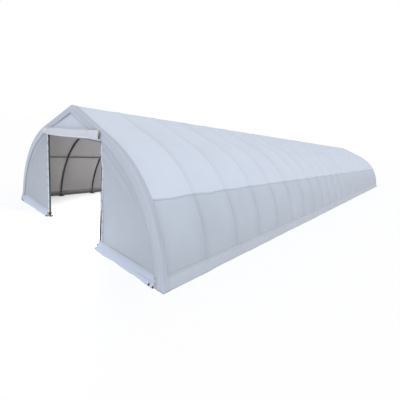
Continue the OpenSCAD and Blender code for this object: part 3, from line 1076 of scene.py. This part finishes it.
# Painted shade: the cap is dark where the open roll lies in shade, and lighter at its top.
roll_end_shade = cloth_finish("painted shade at the roll's end", (0.055, 0.060, 0.085, 1.0), dust=0.0,
                         above=((0.34, 0.32, 0.32, 1.0), cap_low, cap_high))
cap = place(cloth("roll_end_cap", points, roll_end_shade, outward=(1, 0, 0), thickness=0.002),
            "door_fabric")
math.pi * float(wide * high)


# %% [markdown]
# ## Small fittings in rows
# Stitches, ties, bolts and couplings all repeat along a path. Copying them in Python
# works, but a Geometry Nodes tree says it better: a path becomes a curve, the curve is
# cut into even points, and one item is put on each point, turned to the path and to
# the side that faces outwards. One tree serves them all through its named inputs. The
# result is made a plain mesh, so nothing live is left on the piece.

# %% The tree that puts items along a path
def path_tree():
    """Items on a path: X of the item runs along the path and Z faces outwards."""
    tree = bpy.data.node_groups.new("items along a path", "GeometryNodeTree")
    for name, kind in (("Path", "Geometry"), ("Item", "Object"), ("Count", "Int"),
                       ("Uneven", "Float"), ("Seed", "Int"), ("Finish", "Material")):
        tree.interface.new_socket(name, in_out="INPUT", socket_type="NodeSocket" + kind)
    tree.interface.new_socket("Items", in_out="OUTPUT", socket_type="NodeSocketGeometry")
    start = Wire(tree)
    given = start.node("NodeGroupInput")
    # The path, cut into even points
    curve = start.node("GeometryNodeMeshToCurve", {}, {0: given.output("Path")})
    even = start.node("GeometryNodeResampleCurve", {"mode": "COUNT"},
                      {"Curve": curve, "Count": given.output("Count")})
    # Each item is turned along the path, then outwards, then a little at random
    along = start.node("GeometryNodeInputTangent")
    outward = start.node("GeometryNodeInputNamedAttribute", {"data_type": "FLOAT_VECTOR"},
                         {"Name": "outward"})
    ahead = start.node("FunctionNodeAlignRotationToVector", {"axis": "X"}, {"Vector": along})
    upright = start.node("FunctionNodeAlignRotationToVector", {"axis": "Z", "pivot_axis": "X"},
                         {"Rotation": ahead, "Vector": outward})
    uneven = given.output("Uneven")
    turn = start.node("FunctionNodeRandomValue", {"data_type": "FLOAT"},
                      {2: 0.0 - uneven, 3: uneven, "Seed": given.output("Seed")}, out=1)
    twist = start.node("FunctionNodeAxisAngleToRotation", {}, {"Axis": (0, 0, 1), "Angle": turn})
    turned = start.node("FunctionNodeRotateRotation", {"rotation_space": "LOCAL"},
                        {"Rotation": upright, "Rotate By": twist})
    # The items on the points, made real
    item = start.node("GeometryNodeObjectInfo", {}, {"Object": given.output("Item")})
    placed = start.node("GeometryNodeInstanceOnPoints", {},
                        {"Points": even, "Instance": item.output("Geometry"), "Rotation": turned})
    real = start.node("GeometryNodeRealizeInstances", {}, {"Geometry": placed})
    done = start.node("GeometryNodeSetMaterial", {},
                      {"Geometry": real, "Material": given.output("Finish")})
    done.into(tree.nodes.new("NodeGroupOutput").inputs["Items"])
    return tree


ITEMS_ALONG = path_tree()


def row_of(name, item, lines, outward, count, finish, slot, uneven=0.0, seed=1):
    """One mesh of items along each line. outward is one direction or one for each point."""
    lines = [np.asarray(line, float) for line in lines]
    starts = np.cumsum([0] + [len(line) for line in lines])
    edges = [(k + i, k + i + 1) for k, line in zip(starts, lines) for i in range(len(line) - 1)]
    path = bpy.data.meshes.new(name)
    path.from_pydata(np.concatenate(lines), edges, [])
    facing = np.concatenate([np.broadcast_to(o, line.shape) for o, line in zip(
        outward if isinstance(outward, list) else [outward] * len(lines), lines)])
    path.attributes.new("outward", "FLOAT_VECTOR", "POINT").data.foreach_set(
        "vector", facing.astype(np.float32).ravel())
    made = show(bpy.data.objects.new(name, path))
    row = made.modifiers.new("row", "NODES")
    row.node_group = ITEMS_ALONG
    given = {"Item": item, "Count": count, "Uneven": uneven, "Seed": seed, "Finish": finish}
    for socket in ITEMS_ALONG.interface.items_tree:
        if socket.name in given:
            row[socket.identifier] = given[socket.name]
    plain = bpy.data.meshes.new_from_object(made.evaluated_get(
        bpy.context.evaluated_depsgraph_get()))
    made.modifiers.remove(row)
    made.data = plain
    plain.name = name
    return place(made, slot)


# %% [markdown]
# ## The items themselves
# Each is a small closed mesh at the origin, built by bmesh from a few plain shapes. They
# stay low in faces, because some of them are repeated a thousand times.

# %% Shapes for the items
ORDER = {"Z": (0, 1, 2), "Y": (0, 2, 1)}   # where a flat point's x and y and its level go


def item(name, *shapes):
    """An object that isn't in the scene, from several shapes joined."""
    work = bmesh.new()
    for shape in shapes:
        shape(work)
    bmesh.ops.recalc_face_normals(work, faces=work.faces)
    mesh = bpy.data.meshes.new(name)
    work.to_mesh(mesh)
    work.free()
    return bpy.data.objects.new(name, mesh)


def bridge(work, low, high):
    """Joins two rings of vertices with faces."""
    for k in range(len(low)):
        m = (k + 1) % len(low)
        work.faces.new([low[k], low[m], high[m], high[k]])


def rod(points, radius, sides=6, closed=False):
    """A round bar along some points, or a ring if closed."""
    def build(work):
        path = [Vector(p) for p in points]
        count = len(path)
        rings, side = [], None
        for k, here in enumerate(path):
            before = path[k - 1] if k or closed else here
            after = path[(k + 1) % count] if k < count - 1 or closed else here
            ahead = (after - before).normalized()
            if side is None:
                side = ahead.orthogonal().normalized()
            side = (side - ahead * side.dot(ahead)).normalized()   # turned with the bend
            other = ahead.cross(side)
            rings.append([work.verts.new(here + radius * (
                math.cos(a) * side + math.sin(a) * other))
                for a in np.linspace(0, math.tau, sides, endpoint=False)])
        pairs = list(zip(rings, rings[1:] + rings[:1]))[:count if closed else count - 1]
        for low, high in pairs:
            bridge(work, low, high)
        if not closed:
            work.faces.new(rings[0][::-1])
            work.faces.new(rings[-1])
    return build


def block(size, at=(0, 0, 0), bevel=0.0):
    """A box of a size about a place, with its edges taken off by a bevel."""
    def build(work):
        made = bmesh.ops.create_cube(work, size=1.0, matrix=Matrix.Translation(at)
                                     @ Matrix.Diagonal((*size, 1)))
        if bevel:
            edges = {e for v in made["verts"] for e in v.link_edges}
            bmesh.ops.bevel(work, geom=list(edges), offset=bevel, segments=1, affect="EDGES")
    return build


def prism(outline, low, high, along="Z"):
    """A flat outline made solid between two places along an axis."""
    def build(work):
        ends = [[work.verts.new([(*p, level)[k] for k in ORDER[along]]) for p in outline]
                for level in (low, high)]
        work.faces.new(ends[0][::-1])
        work.faces.new(ends[1])
        bridge(work, *ends)
    return build


def ring_points(radius, count, x=0.0, y=0.0):
    """Even points on a circle about a place."""
    return [(x + radius * math.cos(a), y + radius * math.sin(a)) for a in
            np.linspace(0, math.tau, count, endpoint=False)]


def collar(outer, inner, low, high, sides=28, along="Y"):
    """A short tube between two places along an axis."""
    def build(work):
        rings = [[work.verts.new([(*p, level)[k] for k in ORDER[along]])
                  for p in ring_points(radius, sides)]
                 for radius, level in ((outer, low), (outer, high), (inner, high), (inner, low))]
        for a, b in zip(rings, rings[1:] + rings[:1]):
            bridge(work, a, b)
    return build


def bolt(at, radius, height):
    """A hexagon head that points down, below its washer."""
    x, y, z = at
    under = z - 0.002    # the washer's lower face

    def build(work):
        prism(ring_points(1.35 * radius, 12, x, y), under, z)(work)
        prism(ring_points(radius, 6, x, y), under - height, under)(work)
    return build


# %% [markdown]
# ## Fittings on the steel
# A hoop is pushed together from tubes, and a sleeve with two bolts holds each joint. A
# plate and two bent rods clamp a purlin to each hoop. At the ground a hoop's plate has
# two fins, and a post stands in a socket. One by one they would be two hundred objects,
# so each is made once as an item, and a row of it is one piece.

# %% Couplings on the hoops
SLEEVE_R, SLEEVE = 0.0334, 0.18   # a sleeve's outer radius and its length
SLEEVE_BOLT = 0.055      # a bolt's place, from the joint
JOINTS_UP = (1.25, 4.35)   # the joints' places, up from each foot
sleeve = item("sleeve", collar(SLEEVE_R, SLEEVE_R - 0.0022, -SLEEVE / 2, SLEEVE / 2),
              *(bolt((0, y, -SLEEVE_R + 0.001), 0.009, 0.007)
                for y in (-SLEEVE_BOLT, SLEEVE_BOLT)))


def along_hoops(s, out):
    """A line along the shelter that passes each hoop at a place on the arch."""
    x, z = arch(s, out)
    dx, dz = (np.array(arch(s, 0.0)) - arch(s, -0.1)) / 0.1
    return [(float(x), y, float(z)) for y in hoop_y], (float(dx), 0.0, float(dz))


joint_s = [on_side("right", up) for up in JOINTS_UP]
joint_s += [on_side("left", up) for up in JOINTS_UP[::-1]]
joints = [along_hoops(s, -tube_r) for s in joint_s]
row_of("hoop_couplings", sleeve, [line for line, _ in joints], [face for _, face in joints],
       hoop_count, frame_steel, "frame_steel")


# %% Clamps where the purlins cross the hoops
U_BOLT = 0.0022          # half its rod's thickness
U_BOLT_R = tube_r + 0.0024   # and the radius it is bent to


def u_bolt(y):
    """A bent rod over a hoop, with its legs down past the purlin."""
    r = U_BOLT_R
    arc = [(r * math.cos(a), y, r * math.sin(a)) for a in np.linspace(0, math.pi, 9)]
    low = -0.088
    return rod([(r, y, low), *arc, (-r, y, low)], U_BOLT)


purlin_r = (purlin_high.x - purlin_low.x) / 2
beside = purlin_r + 0.006
under = -tube_r - 2 * purlin_r - 0.0008
legs = [(x, y) for x in (-U_BOLT_R, U_BOLT_R) for y in (-beside, beside)]
clamp = item("clamp", u_bolt(beside), u_bolt(-beside),
             block((0.088, 0.078, 0.005), (0, 0, under - 0.0026), 0.001),
             *(bolt((x, y, under - 0.005), 0.0065, 0.006) for x, y in legs))
crossings = [along_hoops(on_side(side, purlin_s), -tube_r) for side in SIDES]
ridge_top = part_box("ridge_purlin")[1].z
crossings.append(([(0.0, y, ridge_top + tube_r + 0.0004) for y in hoop_y], (0, 0, 1)))
row_of("purlin_clamps", clamp, [line for line, _ in crossings], [face for _, face in crossings],
       hoop_count, zinc, "frame_steel")

# %% Feet: gussets on the hoops' plates and sockets round the posts
fin = [(tube_r - 0.001, 0.008), (tube_r + 0.052, 0.008), (tube_r + 0.052, 0.013),
       (tube_r + 0.006, 0.085), (tube_r - 0.001, 0.085)]
gusset = item("gusset", prism(fin, -0.003, 0.003, "Y"),
              prism([(-x, z) for x, z in fin], -0.003, 0.003, "Y"))
foot = float(arch(0.0, -tube_r)[0])
feet = [[(sign * foot, y, 0.0) for y in hoop_y[1:-1]] for sign in SIDES.values()]
row_of("hoop_gussets", gusset, feet, (0, 0, 1), hoop_count - 2, frame_steel, "frame_steel")

socket = item("socket", collar(tube_r + 0.0042, tube_r + 0.0004, 0.008, 0.075, along="Z"),
              collar(tube_r + 0.010, tube_r + 0.0006, 0.0085, 0.016, along="Z"),
              rod([(-tube_r - 0.009, 0, 0.055), (tube_r + 0.009, 0, 0.055)], 0.004))
posts = [[(x, y, 0.0) for x in (-door_half - tube_r, door_half + tube_r)]
         for y in (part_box("front_header")[0].y + tube_r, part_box("rear_header")[1].y - tube_r)]
row_of("post_sockets", socket, posts, (0, 0, 1), 2, frame_steel, "frame_steel")
foot_tie = item("foot_tie", collar(tube_r + 0.014, tube_r + 0.001, 0.085, 0.170, 20, "Z"),
                block((0.085, 0.060, 0.090), (-0.030, -0.048, 0.130), 0.016),
                block((0.070, 0.070, 0.050), (-0.055, -0.085, 0.055), 0.014),
                rod([(-0.03, -0.05, 0.10), (-0.048, -0.075, 0.055), (-0.085, -0.095, 0.022),
                     (-0.12, -0.13, 0.016)], 0.008),
                rod([(0.0, -0.05, 0.11), (0.010, -0.080, 0.07), (0.015, -0.092, 0.030)], 0.008))
row_of("post_foot_ties", foot_tie, posts[:1], (0, 0, 1), 2, black_webbing, "frame_steel",
       uneven=0.5, seed=3)

# %% [markdown]
# ## Lacing, stitches and eyelets
# The panels' edges are laced to the posts by short black elastic ties, which show as
# small dark marks up each side of the doorway. Every seam is a row of stitches that
# lies on its cloth, so its path is worked out with the same functions as the cloth.

# %% Ties along the doorway's edges
tie = item("tie", rod([(0, 0.034 * math.cos(a), 0.0195 * math.sin(a)) for a in
                       np.linspace(-0.25, math.pi + 0.25, 12)], 0.0036),
           rod([(0.0, -0.030, 0.006), (0.004, -0.046, -0.004)], 0.0030),
           block((0.020, 0.013, 0.010), (0, 0.012, 0.020), 0.003))
tie_count = int((door_top - 0.35) / TIE_STEP)
for side in SIDES:
    up = np.linspace(1, tie_count, 4 * tie_count) * TIE_STEP
    row_of(f"{side}_door_ties", tie, [[(edge_x(side, z), wall_front - 0.003, z) for z in up]],
           (0, -1, 0), tie_count, black_webbing, "frame_steel", uneven=0.12, seed=4)

# %% Stitches along the seams
stitch = item("stitch", block((0.011, 0.0016, 0.0012)))
STITCH_STEP = 0.022      # from one stitch to the next


def stitches(name, lines, outward, slot):
    """Rows of stitches, as many as the longest line needs."""
    longest = max(np.linalg.norm(np.diff(line, axis=0), axis=1).sum() for line in lines)
    row_of(name, stitch, lines, outward, int(longest / STITCH_STEP), thread, slot, 0.06, 5)


def seam(s_of_y, out_of, side, y):
    """A seam along the shelter: its points and the directions it faces."""
    up = s_of_y(y)
    s, out = on_side(side, up), out_of(up, y)
    line = on_arch(s, y, out)
    return line, (line - on_arch(s, y, out - 0.05)) / 0.05


whole = np.concatenate([LENGTHS["front"][1:-1], LENGTHS["rear"][2:-1]])
for side in SIDES:
    line, away = seam(lambda y: roof_edge(y) + 0.022,
                      lambda s, y: cover_out(s, y) + 0.0026, side, whole)
    stitches(f"{side}_roof_stitches", [line], [away], "roof_fabric")
    line, away = seam(lambda y: SKIRT_TOP - 0.026 + 0 * y,
                      lambda s, y: skirt_out(s, y) + 0.0005, side, whole)
    stitches(f"{side}_skirt_stitches", [line], [away], "hem_fabric")

for end in BORDERS:
    points, sign = border_points(end)
    line = points[4:-4, 3] + (0, sign * 0.0005, 0)
    stitches(f"{end}_border_stitches", [line], (0, sign, 0), "wall_fabric")

# %% Corner fittings: eyelets in the border's feet and the strap that ties each corner down
EYELETS_UP = np.array([0.13, 0.27])   # their places, up from the foot
eyelet = item("eyelet", rod([(*p, 0.0008) for p in ring_points(0.0125, 16)], 0.0032, 6, True))
buckle = item("buckle", block((0.050, 0.030, 0.014), (0, 0, 0.007), 0.003),
              block((0.040, 0.036, 0.003), (0, 0.026, 0.003), 0.001),
              rod([(-0.026, 0.004, 0.012), (0.026, 0.004, 0.012)], 0.004))
for end, (sign, plane, start) in BORDERS.items():
    eyes, buckles = [], []
    for side, mirror in SIDES.items():
        s = on_side(side, EYELETS_UP)
        out = 0.045 - border_width
        ahead = border_face(-out + 0 * s, s, start) + 0.001
        eyes.append(on_arch(s, plane + sign * ahead, out))
        inner = float(leg_x(0.03, -border_width)) - 0.05
        across = sorted((mirror * (inner - 0.10), mirror * (inner + 0.05)),
                        reverse=end == "rear")
        buckles.append([(x, plane + sign * 0.085, 0.030) for x in across])
    row_of(f"{end}_corner_eyelets", eyelet, eyes, (0, sign, 0.15), 2, frame_steel, "frame_steel")
    row_of(f"{end}_corner_buckles", buckle, buckles, (0, sign, 0.35), 2, black_webbing,
           "frame_steel", uneven=0.2, seed=8)

# %% [markdown]
# ## The dark strip along the inside of the foot
# Inside, a strip fills the gap between the rail and the ground. It is painted dark, as
# painted shade under the rail. It hangs outside the hoops and inside the skirt, and only
# shows through the doorway.

# %% Strips of painted shade along the foot, in two lengths on each side
# Painted shade: the strip's dark colour stands for the shadow under the rail.
foot_shade_cloth = cloth_finish("painted shade along the foot", (0.075, 0.085, 0.098, 1.0), dust=0.2)
for side, part, y in STRETCHES:
    up = np.linspace(0.008, 0.15, 7)[:, None]
    out = 0.0035 - 0.002 * bay_middle(y) + 0.0012 * soft_noise(y, up, 0.3, 0.2, 91)
    points = on_arch(on_side(side, up), y, out - under_lap(y, part) * 0.6)
    strip = place(cloth(f"{side}_foot_strip_{part}", points, foot_shade_cloth, thickness=0.002),
                  "hem_fabric")

# %% [markdown]
# ## The floor and the light
# The shelter stands on a plain white floor under a plain white sky. A broad sun from
# above the front right corner shapes it: the roof is brightest, and the side of each
# rib that faces the front is a little lighter than the side behind it. Both are also
# painted into the cloth: its roof is painted lighter, and painted shade lies on and
# behind each hoop. Cloth this thick lets no light through here, so two panels of light
# under the ridge fill the inside. The camera doesn't see them.

# %% Floor, sky, sun and the fill inside
FAR = 400                # metres from the middle to the floor's edge
floor = show(bpy.data.objects.new("floor", bpy.data.meshes.new("floor")))
floor.data.from_pydata([(-FAR, -FAR, 0), (FAR, -FAR, 0), (FAR, FAR, 0), (-FAR, FAR, 0)], [],
                       [(0, 1, 2, 3)])
floor.data.materials.append(start_finish("floor", Base_Color=(0.97, 0.97, 0.97, 1.0),
                                         Roughness=1.0, Specular_IOR_Level=0.0)[0])

SKY = 0.55               # the sky's strength on the shelter
SUN, SUN_TO = 1.75, (0.35, -0.40, 0.85)   # its strength, and the way to it
SUN_SPREAD = math.radians(50)
PANEL_WATTS, PANEL_SIZE = 1100, (2.6, 15.5)   # of each panel of light
PANEL_Y, PANEL_Z = 8.6, 3.35   # and its place, ahead of the middle or behind it
sky = bpy.data.worlds.new("sky")
scene.world = sky
sky.use_nodes = True
seen = Wire(sky.node_tree).node("ShaderNodeLightPath")
background = sky.node_tree.nodes["Background"]
background.inputs["Color"].default_value = (1.0, 1.0, 1.0, 1.0)
(seen * (1.0 - SKY) + SKY).into(background.inputs["Strength"])

sun = show(bpy.data.objects.new("sun", bpy.data.lights.new("sun", "SUN")))
sun.data.energy = SUN
sun.data.angle = SUN_SPREAD
sun.rotation_euler = Vector(SUN_TO).to_track_quat("Z", "Y").to_euler()

for part, y in (("front", -PANEL_Y), ("rear", PANEL_Y)):
    panel = bpy.data.lights.new(f"inside {part}", "AREA")
    panel.shape, panel.energy = "RECTANGLE", PANEL_WATTS
    panel.size, panel.size_y = PANEL_SIZE
    lamp = show(bpy.data.objects.new(f"inside {part}", panel))
    lamp.location = (0, y, PANEL_Z)
    lamp.visible_camera = False
